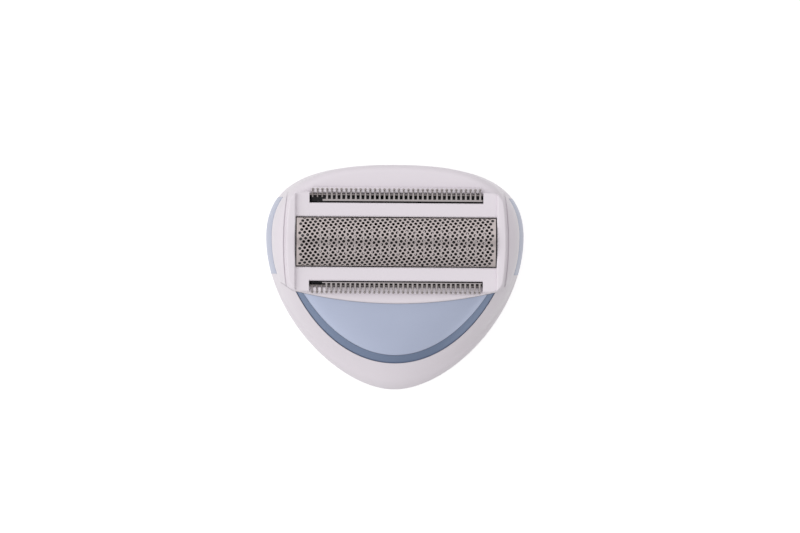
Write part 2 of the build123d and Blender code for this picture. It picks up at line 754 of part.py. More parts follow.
# Drive bridge: slider with a yoke for the drive pin, two spring posts and a fork for each trimmer.
with BuildPart() as drive_bridge:
    with BuildSketch(Plane.XY.offset(bridge_z)):
        with Locations((right_stop, row_y)):
            Rectangle(bridge_length, 2 * bridge_half_depth)
    extrude(amount=bridge_thickness)
    with BuildSketch(Plane.XY.offset(yoke_bottom_z)):
        with Locations((right_stop, row_y)):
            RectangleRounded(yoke_slot[0] + 2 * yoke_wall[0], yoke_slot[1] + 2 * yoke_wall[1], yoke_round)
    extrude(amount=bridge_z - yoke_bottom_z)
    with BuildSketch(Plane.XY.offset(yoke_bottom_z)):
        with Locations((right_stop, row_y)):
            RectangleRounded(*yoke_slot, yoke_round)
    extrude(amount=bridge_top_z - yoke_bottom_z, mode=Mode.SUBTRACT)
    with BuildSketch(Plane.XY.offset(bridge_top_z)):
        with Locations((right_stop, row_y)):
            with GridLocations(2 * post_x, 1, 2, 1):
                Circle(post_radius)
    extrude(amount=post_top_z - bridge_top_z)
    with BuildSketch(Plane.XY.offset(bridge_top_z)):
        with Locations((right_stop, row_y)):
            with GridLocations(1, stem_inner + stem_outer, 1, 2):
                Rectangle(arm_width, stem_outer - stem_inner)
    extrude(amount=arm_z - bridge_top_z)
    with BuildSketch(Plane.XY.offset(arm_z)):
        with Locations((right_stop, row_y)):
            with GridLocations(1, stem_inner + fork_outer, 1, 2):
                Rectangle(arm_width, fork_outer - stem_inner)
    extrude(amount=arm_thickness)
    with BuildSketch(Plane.XY.offset(arm_z)):
        with Locations((right_stop, row_y)):
            with GridLocations(1, fork_inner + fork_outer, 1, 2):
                Rectangle(arm_width, fork_outer - fork_inner)
    extrude(amount=fork_top_z - arm_z)
    with BuildSketch(Plane.XY.offset(tab_bottom_z - slide_gap)):
        with Locations((right_stop, row_y)):
            with GridLocations(1, 2 * blade_inner + blade_gauge, 1, 2):
                Rectangle(tab_width + 2 * seat_gap, blade_gauge + 2 * seat_gap)
    extrude(amount=foil_radius, mode=Mode.SUBTRACT)
drive_bridge.part.label = "drive_bridge"
export_step(drive_bridge.part, "parts/drive_bridge.step")

# The two trimmers: a comb hung in each slot, and a blade of the same form on both sides.
for end, side, slot_width in trimmers:
    comb_root = slot_inner + slot_width - comb_gauge
    comb_edge = slot_inner + slot_width - seat_gap
    finger_root = min(comb_root, blade_base + comb_gauge)
    with BuildPart() as trimmer_comb:
        with BuildSketch(Plane.XY.offset(comb_top_z - comb_gauge)):
            with Locations((0, row_y + side * (comb_root + comb_edge) / 2)):
                Rectangle(2 * slot_half_length - 2 * seat_gap, comb_edge - comb_root)
            with Locations((0, row_y + side * (finger_root + comb_tip) / 2)):
                with GridLocations(tooth_pitch, 1, tooth_count, 1):
                    Rectangle(tooth_width, comb_tip - finger_root)
        extrude(amount=comb_gauge)
        with BuildSketch(Plane.XY.offset(comb_top_z - comb_gauge)):
            with Locations((0, row_y + side * comb_tip)):
                with GridLocations(tooth_pitch, 1, tooth_count, 1):
                    RegularPolygon(tip_size / 2, 8)
        extrude(amount=comb_gauge + tip_rise)
        with BuildSketch(Plane.XY.offset(comb_flange_z)):
            with Locations((0, row_y + side * (comb_root + comb_edge) / 2)):
                Rectangle(2 * slot_half_length - 2 * seat_gap, comb_edge - comb_root)
        extrude(amount=comb_top_z - comb_flange_z)
    trimmer_comb.part.label = f"trimmer_comb_{end}"
    export_step(trimmer_comb.part, f"parts/trimmer_comb_{end}.step")

    with BuildPart() as trimmer_blade:
        with BuildSketch(Plane.XY.offset(blade_z)):
            with Locations((right_stop, row_y + side * (blade_inner + blade_base) / 2)):
                Rectangle(blade_length, blade_base - blade_inner)
            with Locations((right_stop, row_y + side * (blade_inner + blade_tip) / 2)):
                with GridLocations(tooth_pitch, 1, blade_tooth_count, 1):
                    Rectangle(tooth_width, blade_tip - blade_inner)
        extrude(amount=blade_gauge)
        with BuildSketch(Plane.XY.offset(tab_bottom_z)):
            with Locations((right_stop, row_y + side * (blade_inner + blade_gauge / 2))):
                Rectangle(tab_width, blade_gauge)
        extrude(amount=blade_z - tab_bottom_z)
    trimmer_blade.part.label = f"trimmer_blade_{end}"
    export_step(trimmer_blade.part, f"parts/trimmer_blade_{end}.step")

# Release buttons: outer pad, inner flange that keeps it in, and a latch that reaches into the socket.
for end, side in (("left", -1), ("right", 1)):
    with BuildPart() as release_button:
        add(casing_form.part)
        with Locations((side * (button_inner_x + half_width) / 2, button_mid_y, button_bottom_z)):
            Box(
                half_width - button_inner_x,
                button_depth,
                button_top_z - button_bottom_z,
                align=(Align.CENTER, Align.CENTER, Align.MIN),
                mode=Mode.INTERSECT,
            )
        widest = casing_size(widest_z)
        seat = (widest[0] - button_inset, widest[1] - button_inset, widest[2] + button_inset, 0)
        back = (seat[0] - button_flange, seat[1] - button_flange, seat[2] + button_flange, 0)
        extrude(outline(0, *seat), amount=deck_z, mode=Mode.SUBTRACT)
        with BuildSketch(Plane.XY.offset(flange_bottom_z)):
            add(outline(0, *seat))
            add(outline(0, *back), mode=Mode.SUBTRACT)
            with Locations((side * (button_inner_x + half_width) / 2, button_mid_y)):
                Rectangle(
                    half_width - button_inner_x, button_depth + button_lap, mode=Mode.INTERSECT
                )
        extrude(amount=button_top_z - button_lap - flange_bottom_z)
        foot_end = button_seat_x + button_flange / 2
        with BuildSketch(Plane.XY.offset(flange_bottom_z)):
            with Locations((side * (latch_x + foot_end) / 2, button_mid_y)):
                Rectangle(foot_end - latch_x, latch_length)
        extrude(amount=latch_thickness)
        with BuildSketch(Plane.XY.offset(latch_bottom_z)):
            with Locations((side * (latch_x + latch_thickness / 2), button_mid_y)):
                Rectangle(latch_thickness, latch_length)
        extrude(amount=flange_bottom_z - latch_bottom_z)
        with BuildSketch(Plane.XY.offset(latch_bottom_z)):
            with Locations((side * (latch_x + (latch_thickness + latch_hook) / 2), button_mid_y)):
                Rectangle(latch_thickness + latch_hook, latch_length)
        extrude(amount=latch_hook_height)
    release_button.part.label = f"release_button_{end}"
    export_step(release_button.part, f"parts/release_button_{end}.step")

    post_face = spring_post_x + spring_post_thickness
    spring_place = Plane(
        origin=(side * post_face, button_mid_y, button_spring_z),
        x_dir=(0, 1, 0),
        z_dir=(side, 0, 0),
    )
    button_spring = coil(
        button_spring_radius, button_wire, button_seat_x - post_face, button_turns, spring_place
    )
    button_spring.label = f"button_spring_{end}"
    export_step(button_spring, f"parts/button_spring_{end}.step")

    cutter_spring = coil(
        cutter_spring_radius,
        cutter_wire,
        carrier_bottom_z - bridge_top_z,
        cutter_turns,
        Plane((right_stop + side * post_x, row_y, bridge_top_z)),
    )
    cutter_spring.label = f"cutter_spring_{end}"
    export_step(cutter_spring, f"parts/cutter_spring_{end}.step")
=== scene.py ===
import json
import math

import bpy
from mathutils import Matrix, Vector


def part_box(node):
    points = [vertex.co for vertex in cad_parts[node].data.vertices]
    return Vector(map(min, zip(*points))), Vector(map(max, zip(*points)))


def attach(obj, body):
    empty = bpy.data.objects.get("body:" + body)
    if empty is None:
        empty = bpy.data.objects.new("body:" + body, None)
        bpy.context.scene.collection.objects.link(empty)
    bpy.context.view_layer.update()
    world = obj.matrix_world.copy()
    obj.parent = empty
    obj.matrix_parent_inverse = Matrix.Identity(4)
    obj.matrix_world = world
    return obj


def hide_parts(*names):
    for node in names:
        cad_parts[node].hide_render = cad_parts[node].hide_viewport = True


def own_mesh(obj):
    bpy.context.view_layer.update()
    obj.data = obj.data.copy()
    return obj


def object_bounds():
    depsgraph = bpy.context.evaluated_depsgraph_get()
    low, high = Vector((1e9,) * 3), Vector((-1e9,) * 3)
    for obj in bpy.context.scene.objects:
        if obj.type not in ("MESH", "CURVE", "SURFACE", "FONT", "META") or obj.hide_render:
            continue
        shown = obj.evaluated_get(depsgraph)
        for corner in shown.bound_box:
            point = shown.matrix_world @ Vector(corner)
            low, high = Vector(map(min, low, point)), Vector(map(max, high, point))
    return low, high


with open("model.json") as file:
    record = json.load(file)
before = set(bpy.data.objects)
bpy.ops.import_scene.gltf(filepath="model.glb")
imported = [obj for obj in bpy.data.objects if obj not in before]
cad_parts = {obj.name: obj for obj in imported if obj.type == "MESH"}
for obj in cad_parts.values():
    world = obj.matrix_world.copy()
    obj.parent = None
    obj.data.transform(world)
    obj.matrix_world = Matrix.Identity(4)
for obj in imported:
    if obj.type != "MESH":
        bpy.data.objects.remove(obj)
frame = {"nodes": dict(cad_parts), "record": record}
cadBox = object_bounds()
nodes = frame["nodes"]
mm = 0.001
smoothUnder = {"shell": 32, "coil": 50, "foil": 30, "trimmer": 40, "ledge": 60}  # degrees
print("frame loaded with", len(nodes), "nodes")


# selection and modelling helpers

def backToObject():
    bpy.ops.object.mode_set(mode="OBJECT")


def deselectAll():
    active = bpy.context.view_layer.objects.active
    if active and active.mode != "OBJECT":
        backToObject()
    bpy.ops.object.select_all(action="DESELECT")


def pickOnly(piece):
    deselectAll()
    piece.select_set(True)
    bpy.context.view_layer.objects.active = piece


def selectVerts(piece, test):
    pickOnly(piece)
    bpy.ops.object.mode_set(mode="EDIT")
    bpy.ops.mesh.select_mode(type="VERT")
    bpy.ops.mesh.select_all(action="DESELECT")
    backToObject()
    for vert in piece.data.vertices:
        vert.select = test(vert.co)
    bpy.ops.object.mode_set(mode="EDIT")


def selectFaces(piece, test):
    pickOnly(piece)
    bpy.ops.object.mode_set(mode="EDIT")
    bpy.ops.mesh.select_mode(type="FACE")
    bpy.ops.mesh.select_all(action="DESELECT")
    backToObject()
    for face in piece.data.polygons:
        face.select = test(face.normal)
    bpy.ops.object.mode_set(mode="EDIT")


def selectWhole(piece):
    pickOnly(piece)
    bpy.ops.object.mode_set(mode="EDIT")
    bpy.ops.mesh.select_mode(type="VERT")
    bpy.ops.mesh.select_all(action="SELECT")


def finishModifier(piece, kind, **settings):
    pickOnly(piece)
    modifier = piece.modifiers.new(kind.title(), kind)
    for name, value in settings.items():
        setattr(modifier, name, value)
    bpy.ops.object.modifier_apply(modifier=modifier.name)


def joinPieces(pieces, name):
    deselectAll()
    for piece in pieces:
        piece.select_set(True)
    bpy.context.view_layer.objects.active = pieces[0]
    bpy.ops.object.join()
    joined = bpy.context.view_layer.objects.active
    joined.name = name
    joined.data.name = name
    return joined


def settle(piece):  # place goes into the mesh, as on a CAD node
    pickOnly(piece)
    bpy.ops.object.transform_apply(location=True, rotation=True, scale=True)


def addBlock(name, low, high, edge):  # a block between two corners, with soft edges
    deselectAll()
    middle = [(a + b) / 2 for a, b in zip(low, high)]
    bpy.ops.mesh.primitive_cube_add(size=1, location=middle)
    block = bpy.context.view_layer.objects.active
    block.name = name
    block.scale = [b - a for a, b in zip(low, high)]
    settle(block)
    selectWhole(block)
    bpy.ops.mesh.bevel(offset=edge, segments=1, affect="EDGES")
    backToObject()
    return block


def smooth(piece, kind):
    pickOnly(piece)
    bpy.ops.object.shade_smooth_by_angle(angle=math.radians(smoothUnder[kind]))


def frameBody(node):  # the moving body that a CAD node belongs to
    for body, members in frame["record"]["behaviour"]["bodies"].items():
        if node in members:
            return body


def dress(piece, node):  # the piece stands for a CAD node
    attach(piece, frameBody(node))
    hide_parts(node)


# shared surface effects

def newGroup(name, inputs, outputs):
    group = bpy.data.node_groups.new(name, "ShaderNodeTree")
    for label, kind, value in inputs:
        socket = group.interface.new_socket(label, in_out="INPUT", socket_type=kind)
        socket.default_value = value
    for label, kind in outputs:
        group.interface.new_socket(label, in_out="OUTPUT", socket_type=kind)
    start = group.nodes.new("NodeGroupInput")
    end = group.nodes.new("NodeGroupOutput")
    start.location = (-900, 0)
    end.location = (700, 0)
    return group, start, end


def addNode(tree, kind, spot, **values):
    node = tree.nodes.new(kind)
    node.location = spot
    for label, value in values.items():
        node.inputs[label.replace("_", " ")].default_value = value
    return node


def addMath(tree, operation, spot, kind="ShaderNodeMath"):
    node = addNode(tree, kind, spot)
    node.operation = operation
    return node


def addRange(tree, spot, fromMin, fromMax, toMin, toMax):
    return addNode(tree, "ShaderNodeMapRange", spot,
                   From_Min=fromMin, From_Max=fromMax, To_Min=toMin, To_Max=toMax)


def addColourMix(tree, spot):
    node = addNode(tree, "ShaderNodeMix", spot)
    node.data_type = "RGBA"
    return node


def linkGrain(group, start, end, cloud, grain, depth):  # cloud gives the tone, grain the gloss and the relief
    tone = addColourMix(group, (-200, 300))
    gloss = addNode(group, "ShaderNodeMapRange", (-200, 0))
    bump = addNode(group, "ShaderNodeBump", (100, -200), Distance=depth)
    link = group.links.new
    link(cloud.outputs["Fac"], tone.inputs["Factor"])
    link(start.outputs["Tone"], tone.inputs["A"])
    link(start.outputs["Deep Tone"], tone.inputs["B"])
    link(grain.outputs["Fac"], gloss.inputs["Value"])
    link(start.outputs["Gloss Low"], gloss.inputs["To Min"])
    link(start.outputs["Gloss High"], gloss.inputs["To Max"])
    link(grain.outputs["Fac"], bump.inputs["Height"])
    link(tone.outputs["Result"], end.inputs["Color"])
    link(gloss.outputs["Result"], end.inputs["Roughness"])
    link(bump.outputs["Normal"], end.inputs["Normal"])
    return bump


def makeMouldGrain():  # soft mottling and the fine grain of a moulded surface
    group, start, end = newGroup(
        "Mould Grain",
        [("Tone", "NodeSocketColor", (0.8, 0.8, 0.8, 1)),
         ("Deep Tone", "NodeSocketColor", (0.7, 0.7, 0.7, 1)),
         ("Cloud Scale", "NodeSocketFloat", 300.0), ("Grain Scale", "NodeSocketFloat", 5000.0),
         ("Grain Depth", "NodeSocketFloat", 0.1), ("Gloss Low", "NodeSocketFloat", 0.3),
         ("Gloss High", "NodeSocketFloat", 0.4)],
        [("Color", "NodeSocketColor"), ("Roughness", "NodeSocketFloat"), ("Normal", "NodeSocketVector")])
    link = group.links.new
    place = addNode(group, "ShaderNodeTexCoord", (-900, 300))
    cloud = addNode(group, "ShaderNodeTexNoise", (-600, 300), Detail=3.0, Roughness=0.5)
    grain = addNode(group, "ShaderNodeTexNoise", (-600, -100), Detail=2.0, Roughness=0.6)
    bump = linkGrain(group, start, end, cloud, grain, 0.03 * mm)
    link(place.outputs["Object"], cloud.inputs["Vector"])
    link(place.outputs["Object"], grain.inputs["Vector"])
    link(start.outputs["Cloud Scale"], cloud.inputs["Scale"])
    link(start.outputs["Grain Scale"], grain.inputs["Scale"])
    link(start.outputs["Grain Depth"], bump.inputs["Strength"])
    return group


def makeRolledGrain():  # fine streaks left by rolling, drawing or grinding
    group, start, end = newGroup(
        "Rolled Grain",
        [("Tone", "NodeSocketColor", (0.7, 0.7, 0.7, 1)),
         ("Deep Tone", "NodeSocketColor", (0.6, 0.6, 0.6, 1)),
         ("Stretch", "NodeSocketVector", (200.0, 4000.0, 4000.0)), ("Streak Depth", "NodeSocketFloat", 0.1),
         ("Gloss Low", "NodeSocketFloat", 0.2), ("Gloss High", "NodeSocketFloat", 0.35)],
        [("Color", "NodeSocketColor"), ("Roughness", "NodeSocketFloat"), ("Normal", "NodeSocketVector")])
    link = group.links.new
    place = addNode(group, "ShaderNodeTexCoord", (-900, 300))
    stretch = addMath(group, "MULTIPLY", (-700, 200), "ShaderNodeVectorMath")
    streak = addNode(group, "ShaderNodeTexNoise", (-500, 200), Scale=1.0, Detail=4.0, Roughness=0.6)
    bump = linkGrain(group, start, end, streak, streak, 0.02 * mm)
    link(place.outputs["Object"], stretch.inputs[0])
    link(start.outputs["Stretch"], stretch.inputs[1])
    link(stretch.outputs["Vector"], streak.inputs["Vector"])
    link(start.outputs["Streak Depth"], bump.inputs["Strength"])
    return group


mouldGrain = makeMouldGrain()
rolledGrain = makeRolledGrain()


def makeFinish(name, group, values, **shader):
    finish = bpy.data.materials.new(name)
    finish.use_nodes = True
    tree = finish.node_tree
    surface = tree.nodes["Principled BSDF"]
    for label, value in shader.items():
        surface.inputs[label.replace("_", " ")].default_value = value
    effect = tree.nodes.new("ShaderNodeGroup")
    effect.node_tree = group
    effect.location = (-300, 200)
    for label, value in values.items():
        effect.inputs[label].default_value = value
    tree.links.new(effect.outputs["Color"], surface.inputs["Base Color"])
    tree.links.new(effect.outputs["Roughness"], surface.inputs["Roughness"])
    tree.links.new(effect.outputs["Normal"], surface.inputs["Normal"])
    return finish


whiteMoulding = makeFinish("white moulding", mouldGrain, {
    "Tone": (0.79, 0.745, 0.785, 1), "Deep Tone": (0.765, 0.72, 0.765, 1), "Cloud Scale": 90.0,
    "Grain Scale": 5200.0, "Grain Depth": 0.03, "Gloss Low": 0.34, "Gloss High": 0.42})
pearlPanel = makeFinish("pearl blue panel", mouldGrain, {
    "Tone": (0.53, 0.59, 0.745, 1), "Deep Tone": (0.495, 0.555, 0.715, 1), "Cloud Scale": 120.0,
    "Grain Scale": 9000.0, "Grain Depth": 0.06, "Gloss Low": 0.28, "Gloss High": 0.38},
    Metallic=0.45, Coat_Weight=0.1)
crescentBlue = makeFinish("crescent grey blue", mouldGrain, {
    "Tone": (0.19, 0.245, 0.36, 1), "Deep Tone": (0.17, 0.225, 0.34, 1), "Cloud Scale": 140.0,
    "Grain Scale": 8000.0, "Grain Depth": 0.06, "Gloss Low": 0.3, "Gloss High": 0.4},
    Metallic=0.45, Coat_Weight=0.2)
buttonBlue = makeFinish("button pale blue", mouldGrain, {
    "Tone": (0.455, 0.495, 0.625, 1), "Deep Tone": (0.43, 0.47, 0.605, 1), "Cloud Scale": 140.0,
    "Grain Scale": 6000.0, "Grain Depth": 0.06, "Gloss Low": 0.3, "Gloss High": 0.4})
innerMoulding = makeFinish("inner matt moulding", mouldGrain, {
    "Tone": (0.56, 0.56, 0.58, 1), "Deep Tone": (0.5, 0.5, 0.52, 1), "Cloud Scale": 160.0,
    "Grain Scale": 3000.0, "Grain Depth": 0.25, "Gloss Low": 0.5, "Gloss High": 0.65})
darkMoulding = makeFinish("dark slide moulding", mouldGrain, {
    "Tone": (0.045, 0.045, 0.05, 1), "Deep Tone": (0.03, 0.03, 0.034, 1), "Cloud Scale": 160.0,
    "Grain Scale": 3000.0, "Grain Depth": 0.25, "Gloss Low": 0.42, "Gloss High": 0.6})
foilSteel = makeFinish("rolled foil steel", rolledGrain, {
    "Tone": (0.63, 0.565, 0.55, 1), "Deep Tone": (0.5, 0.445, 0.435, 1), "Stretch": (150.0, 6000.0, 6000.0),
    "Streak Depth": 0.12, "Gloss Low": 0.18, "Gloss High": 0.28}, Metallic=1.0)
combSteel = makeFinish("ground comb steel", rolledGrain, {
    "Tone": (0.4, 0.365, 0.355, 1), "Deep Tone": (0.3, 0.27, 0.265, 1), "Stretch": (3000.0, 600.0, 3000.0),
    "Streak Depth": 0.1, "Gloss Low": 0.22, "Gloss High": 0.34}, Metallic=1.0)
bladeSteel = makeFinish("ground blade steel", rolledGrain, {
    "Tone": (0.53, 0.495, 0.49, 1), "Deep Tone": (0.4, 0.37, 0.37, 1), "Stretch": (300.0, 5000.0, 5000.0),
    "Streak Depth": 0.15, "Gloss Low": 0.32, "Gloss High": 0.45}, Metallic=1.0)
screwZinc = makeFinish("zinc plated screw", rolledGrain, {
    "Tone": (0.62, 0.62, 0.64, 1), "Deep Tone": (0.48, 0.49, 0.52, 1), "Stretch": (2500.0, 2500.0, 900.0),
    "Streak Depth": 0.12, "Gloss Low": 0.28, "Gloss High": 0.42}, Metallic=1.0)
springWire = makeFinish("drawn spring wire", rolledGrain, {
    "Tone": (0.58, 0.58, 0.6, 1), "Deep Tone": (0.42, 0.42, 0.44, 1), "Stretch": (2500.0, 2500.0, 2500.0),
    "Streak Depth": 0.1, "Gloss Low": 0.25, "Gloss High": 0.4}, Metallic=1.0)
print("finishes made")


def paint(piece, finish):
    piece.data.materials.clear()
    piece.data.materials.append(finish)


# CAD nodes that show as they are
carriedOver = {
    "chassis": innerMoulding, "foil_holder": darkMoulding, "drive_bridge": darkMoulding,
    "cutter_carrier": darkMoulding, "chassis_screws": screwZinc,
}
for name, node in nodes.items():
    if name in carriedOver:
        paint(node, carriedOver[name])
    elif name.startswith("cutter_blade"):
        paint(node, bladeSteel)
print("inner nodes painted")


# moulded shells: a merged copy of the CAD skin with soft shading
mergeGap = 0.002 * mm
shellFinish = {
    "head_casing": ("white_plastic", whiteMoulding), "foil_frame": ("white_plastic", whiteMoulding),
    "front_panel": ("panel_blue", pearlPanel), "panel_trim": ("trim_blue", crescentBlue),
    "release_button_left": ("button_blue", buttonBlue), "release_button_right": ("button_blue", buttonBlue),
}


def makeShell(node, kind):
    shell = bpy.data.objects.new(node + "_shell", nodes[node].data.copy())
    bpy.context.scene.collection.objects.link(shell)
    selectWhole(shell)
    bpy.ops.mesh.remove_doubles(threshold=mergeGap)
    backToObject()
    if shell.data.has_custom_normals:
        bpy.ops.mesh.customdata_custom_splitnormals_clear()
    smooth(shell, kind)
    finishModifier(shell, "WEIGHTED_NORMAL", keep_sharp=True)
    return shell


buttonReach = 0.08 * mm  # each button's ends come this much nearer to its slot


def closeEnds(shell, reach):
    ys = [vert.co.y for vert in shell.data.vertices]
    middle = (min(ys) + max(ys)) / 2
    selectWhole(shell)
    growth = 1 + 2 * reach / (max(ys) - min(ys))
    bpy.ops.transform.resize(value=(1, growth, 1), center_override=(0, middle, 0))
    backToObject()


for name, (slot, finish) in shellFinish.items():
    shell = makeShell(name, "shell")
    if name.startswith("release_button"):
        closeEnds(shell, buttonReach)
    paint(shell, finish)
    dress(shell, name)
print("shells made")


# coil springs: a soft-shaded copy of each CAD coil, with a mesh of its own
springs = {  # joint, axis, and which end of the box is fixed: 0 low, 1 high
    "button_spring_left": ("left_button_press", (1, 0, 0), 1),
    "button_spring_right": ("right_button_press", (1, 0, 0), 0),
    "cutter_spring_left": ("cutter_float", (0, 0, 1), 0),
    "cutter_spring_right": ("cutter_float", (0, 0, 1), 0),
}
for name, (joint, axis, fixedEnd) in springs.items():
    coil = makeShell(name, "coil")
    paint(coil, springWire)
    dress(coil, name)
    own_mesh(coil)
print("springs made")


# perforated foil: one pierced tile, arrayed along two slanted steps, trimmed, then rolled to its arch
foil = {
    "rowStep": Vector((0.375, 0.67, 0)) * mm, "crossStep": Vector((0.57, -0.51, 0)) * mm,  # to two neighbours
    "rows": 53, "crossRows": 59, "holeWidth": 0.62 * mm, "holeHeight": 0.57 * mm, "sides": 16,
    "plainEnd": 0.3 * mm, "legHoles": 0.3 * mm, "gauge": 0.08 * mm, "radius": 9.0 * mm,
    "mergeGap": 0.005 * mm, "cutGap": 0.0001 * mm,
}
foilLow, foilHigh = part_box("shaving_foil")
rowY = (foilLow.y + foilHigh.y) / 2


def tileEdge():  # points round the rim of one slanted tile
    corners = [(foil["rowStep"] * a + foil["crossStep"] * b) / 2
               for a, b in ((1, 1), (1, -1), (-1, -1), (-1, 1))]
    share = foil["sides"] // 4
    return [corners[side].lerp(corners[(side + 1) % 4], step / share)
            for side in range(4) for step in range(share)]


def makeFoilTile():
    rim = tileEdge()
    deselectAll()
    bpy.ops.mesh.primitive_circle_add(vertices=foil["sides"], radius=1, fill_type="NOTHING")
    tile = bpy.context.view_layer.objects.active
    for vert, spot in zip(tile.data.vertices, rim):  # the hole's own rim, turned to face the tile's
        angle = math.atan2(spot.y, spot.x)
        vert.co = (foil["holeWidth"] / 2 * math.cos(angle), foil["holeHeight"] / 2 * math.sin(angle), 0)
    selectWhole(tile)
    bpy.ops.mesh.extrude_region_move(TRANSFORM_OT_translate={"value": (0, 0, 0)})
    backToObject()
    for vert in tile.data.vertices:
        if vert.select:  # the new ring goes out to the tile's edge
            vert.co = min(rim, key=lambda spot: (spot.normalized() - vert.co.normalized()).length)
    return tile


def makeFoil():
    sheet = makeFoilTile()
    for step, count in ((foil["rowStep"], foil["rows"]), (foil["crossStep"], foil["crossRows"])):
        finishModifier(sheet, "ARRAY", count=count, use_relative_offset=False, use_constant_offset=True,
                       constant_offset_displace=step, use_merge_vertices=True,
                       merge_threshold=foil["mergeGap"])
    sheet.location = -(foil["rowStep"] * (foil["rows"] - 1) + foil["crossStep"] * (foil["crossRows"] - 1)) / 2
    settle(sheet)

    halfDepth = (foilHigh.y - foilLow.y) / 2
    arcS = foil["radius"] * math.asin(halfDepth / foil["radius"])
    legTop = foilHigh.z - foil["radius"] + math.sqrt(foil["radius"] ** 2 - halfDepth ** 2)
    openX = foilHigh.x - foil["plainEnd"] - foil["holeWidth"]
    openS = arcS + foil["legHoles"]
    endS = arcS + legTop - foilLow.z
    selectVerts(sheet, lambda co: abs(co.x) > openX or abs(co.y) > openS)
    bpy.ops.mesh.fill_holes(sides=foil["sides"])  # the ends and the lower legs are plain
    backToObject()
    for side in (-1, 1):  # trimmed at the ends and below, and cut where the legs start
        along, across = (side, 0, 0), (0, side, 0)
        for reach, way, trims in ((foilHigh.x, along, True), (endS, across, True), (arcS, across, False)):
            selectWhole(sheet)
            bpy.ops.mesh.bisect(plane_co=Vector(way) * reach, plane_no=way, clear_outer=trims,
                                threshold=foil["cutGap"])
            backToObject()
    for vert in sheet.data.vertices:  # rolled over the arch, legs straight down
        s = vert.co.y
        angle = max(-arcS, min(arcS, s)) / foil["radius"]
        drop = max(0.0, abs(s) - arcS)
        vert.co.y = rowY + foil["radius"] * math.sin(angle)
        vert.co.z = foilHigh.z - foil["radius"] * (1 - math.cos(angle)) - drop
    selectWhole(sheet)
    bpy.ops.mesh.normals_make_consistent(inside=False)
    backToObject()
    top = max(sheet.data.polygons, key=lambda face: face.center.z)
    if top.normal.z < 0:
        selectWhole(sheet)
        bpy.ops.mesh.flip_normals()
        backToObject()
    finishModifier(sheet, "SOLIDIFY", thickness=foil["gauge"], offset=-1)
    smooth(sheet, "foil")
    sheet.name = sheet.data.name = "shaving_foil_mesh"
    return sheet


foilPiece = makeFoil()
paint(foilPiece, foilSteel)
dress(foilPiece, "shaving_foil")
print("foil made with", len(foilPiece.data.polygons), "faces")


# trimmers: one tooth, arrayed along its bar
comb = {
    "pitch": 0.93 * mm, "teeth": 36, "legLap": 0.35 * mm, "fingerGauge": 0.18 * mm, "barWidth": 0.3 * mm,
    "rootWidth": 0.3 * mm, "neckWidth": 0.22 * mm, "edge": 0.04 * mm,
    "tip": 0.48 * mm, "tipFlat": 0.88, "tipRise": 0.3 * mm, "tipSegments": 12, "tipRings": 8,
    "rearBar": 9.35 * mm, "frontBar": 8.65 * mm,  # outer edge of each bar from the row's middle
    "rearSlot": 0.5 * mm, "frontSlot": 1.6 * mm,  # how far the slots between the teeth run on down the fold
    "frontShort": 0.4 * mm,  # the front teeth are shorter in the photo
}


def tapered(block, test, widthShare):  # narrows the chosen end of a tooth across its width
    selectVerts(block, test)
    bpy.ops.transform.resize(value=(widthShare, 1, 1), center_override=(0, 0, 0))
    backToObject()


def arrayTeeth(tooth, count, pitch, middleX):
    tooth.location.x = middleX - pitch * (count - 1) / 2
    settle(tooth)
    finishModifier(tooth, "ARRAY", count=count, use_relative_offset=False, use_constant_offset=True,
                   constant_offset_displace=(pitch, 0, 0))


def makeComb(node, barEdge, slotDepth, shorter):  # drawn as for the rear, outwards along +Y
    low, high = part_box(node)
    reach = max(abs(low.y - rowY), abs(high.y - rowY)) - shorter
    fingerY = rowY + min(abs(low.y - rowY), abs(high.y - rowY))
    topZ = high.z - comb["tipRise"]
    tipY = rowY + reach - comb["tip"] / 2
    half = comb["rootWidth"] / 2
    tooth = addBlock("comb_tooth", (-half, fingerY, topZ - comb["fingerGauge"]), (half, tipY, topZ),
                     comb["edge"])
    tapered(tooth, lambda co: co.y > (fingerY + tipY) / 2, comb["neckWidth"] / comb["rootWidth"])
    deselectAll()
    bpy.ops.mesh.primitive_uv_sphere_add(
        segments=comb["tipSegments"], ring_count=comb["tipRings"], radius=comb["tip"] / 2,
        location=(0, tipY, high.z - comb["tipFlat"] * comb["tip"] / 2))
    tip = bpy.context.view_layer.objects.active
    middle = tip.location.copy()
    settle(tip)
    selectWhole(tip)
    bpy.ops.transform.resize(value=(1, 1, comb["tipFlat"]), center_override=middle)  # a flattened bead
    backToObject()
    outerY = rowY + barEdge
    innerY = outerY - comb["barWidth"]
    barTop = topZ - slotDepth
    leg = addBlock("comb_leg", (-half, innerY, barTop - comb["legLap"]), (half, outerY, topZ - comb["edge"]),
                   comb["edge"])
    tooth = joinPieces([tooth, leg, tip], "comb_tooth")
    arrayTeeth(tooth, comb["teeth"], comb["pitch"], 0)
    bar = addBlock("comb_bar", (low.x, innerY, low.z), (high.x, outerY, barTop), comb["edge"])
    whole = joinPieces([tooth, bar], node + "_mesh")
    smooth(whole, "trimmer")
    return whole


def turnToFront(piece):  # the same piece on the other side of the row
    for vert in piece.data.vertices:
        vert.co.y = 2 * rowY - vert.co.y
    selectWhole(piece)
    bpy.ops.mesh.flip_normals()
    backToObject()


rearComb = makeComb("trimmer_comb_rear", comb["rearBar"], comb["rearSlot"], 0)
frontComb = makeComb("trimmer_comb_front", comb["frontBar"], comb["frontSlot"], comb["frontShort"])
turnToFront(frontComb)
for piece, node in ((rearComb, "trimmer_comb_rear"), (frontComb, "trimmer_comb_front")):
    paint(piece, combSteel)
    dress(piece, node)
print("combs made with", len(rearComb.data.polygons), "faces each")


